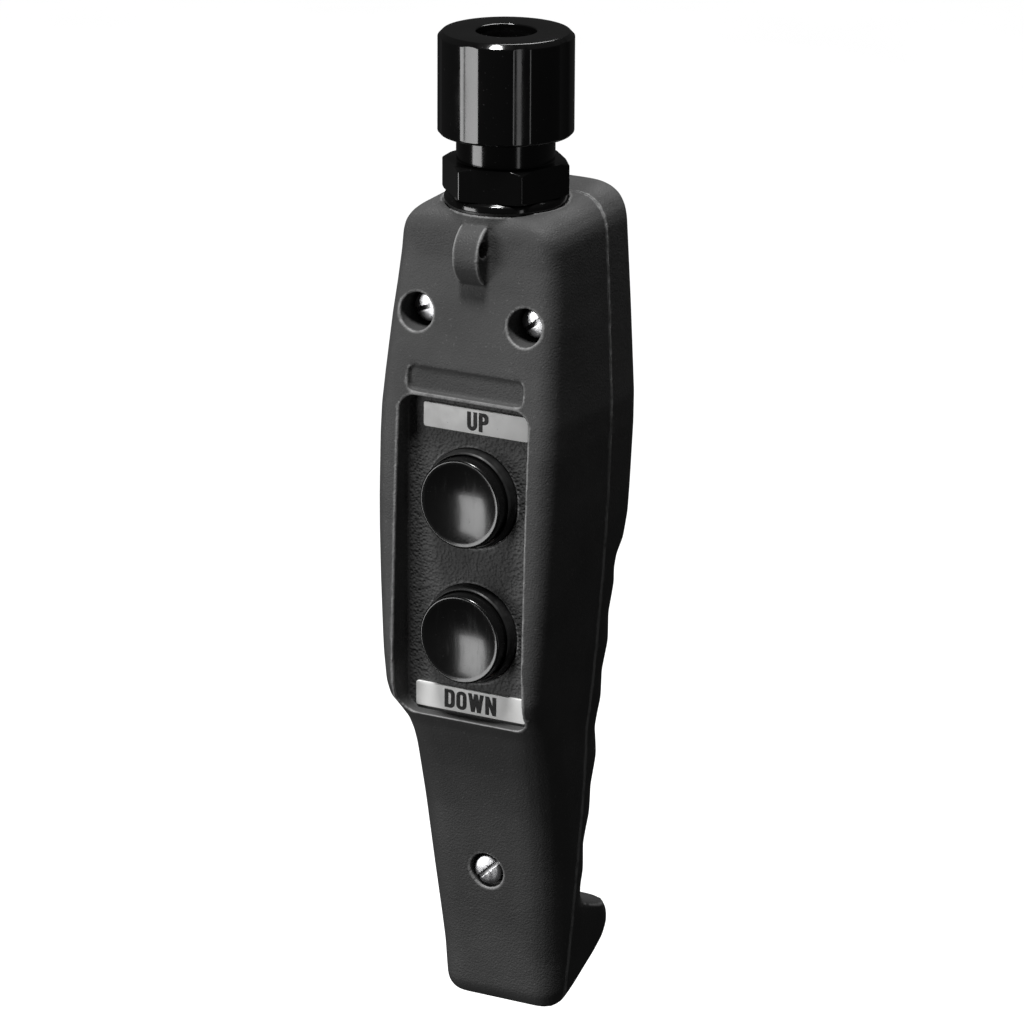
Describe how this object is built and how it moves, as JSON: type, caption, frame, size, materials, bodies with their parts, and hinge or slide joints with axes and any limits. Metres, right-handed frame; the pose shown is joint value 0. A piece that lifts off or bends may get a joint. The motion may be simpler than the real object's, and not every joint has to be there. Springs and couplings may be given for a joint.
{
  "type": "pendant control station",
  "caption": "Hand-held hoist pendant with a grip, dished push buttons for up and down, labels, a support lug and a cord connector on top.",
  "frame": {"origin": "centre of the cable entry, at the top face of the cord connector's nut", "axes": "+Z along the cable, upwards out of the connector; -Y is the button side; +X to the right when facing the buttons"},
  "size_m": [0.0586, 0.0604, 0.2958],
  "materials": {
    "cover_plastic": "fine texture",
    "gland_plastic": "glossy",
    "button_plastic": "glossy",
    "boot_rubber": "satin",
    "rubber": "satin",
    "label": "satin",
    "steel": "zinc plated",
    "brass": "machined",
    "copper": "pressed",
    "phenolic": "moulded"
  },
  "bodies": {
    "housing": {"front_cover": "cover_plastic", "rear_cover": "cover_plastic", "cover_gasket": "rubber", "upper_cover_screws": "steel", "lower_cover_screw": "steel", "threaded_inserts": "brass", "gland_body": "gland_plastic", "gland_sealing_ring": "rubber", "gland_grommet": "rubber", "gland_slip_washer": "steel", "gland_locknut": "steel", "up_label": "label", "down_label": "label", "up_button_boot": "boot_rubber", "down_button_boot": "boot_rubber", "up_button_guide": "phenolic", "down_button_guide": "phenolic", "up_guide_nut": "steel", "down_guide_nut": "steel", "up_return_spring": "steel", "down_return_spring": "steel", "up_contact_block": "phenolic", "down_contact_block": "phenolic", "up_fixed_contacts": "copper", "down_fixed_contacts": "copper", "up_terminal_screws": "steel", "down_terminal_screws": "steel", "up_block_screws": "steel", "down_block_screws": "steel", "mounting_plate": "steel", "plate_screws": "steel", "earth_clamp": "brass", "earth_screw": "steel"},
    "up_button": {"up_button_cap": "button_plastic", "up_plunger": "phenolic", "up_contact_bridge": "copper"},
    "down_button": {"down_button_cap": "button_plastic", "down_plunger": "phenolic", "down_contact_bridge": "copper"},
    "connector_nut": {"gland_nut": "gland_plastic"}
  },
  "joints": [
    {"name": "up_button_press", "type": "slide", "parent": "housing", "child": "up_button", "axis": [0, 1, 0], "range_m": [0, 0.004], "stiffness_N_per_m": 2500, "springref_m": -0.002, "deforming": ["up_return_spring"]},
    {"name": "down_button_press", "type": "slide", "parent": "housing", "child": "down_button", "axis": [0, 1, 0], "range_m": [0, 0.004], "stiffness_N_per_m": 2500, "springref_m": -0.002, "deforming": ["down_return_spring"]},
    {"name": "connector_nut_turn", "type": "hinge", "parent": "housing", "child": "connector_nut", "pos_m": [0, 0, 0], "axis": [0, 0, 1], "continuous": true}
  ]
}
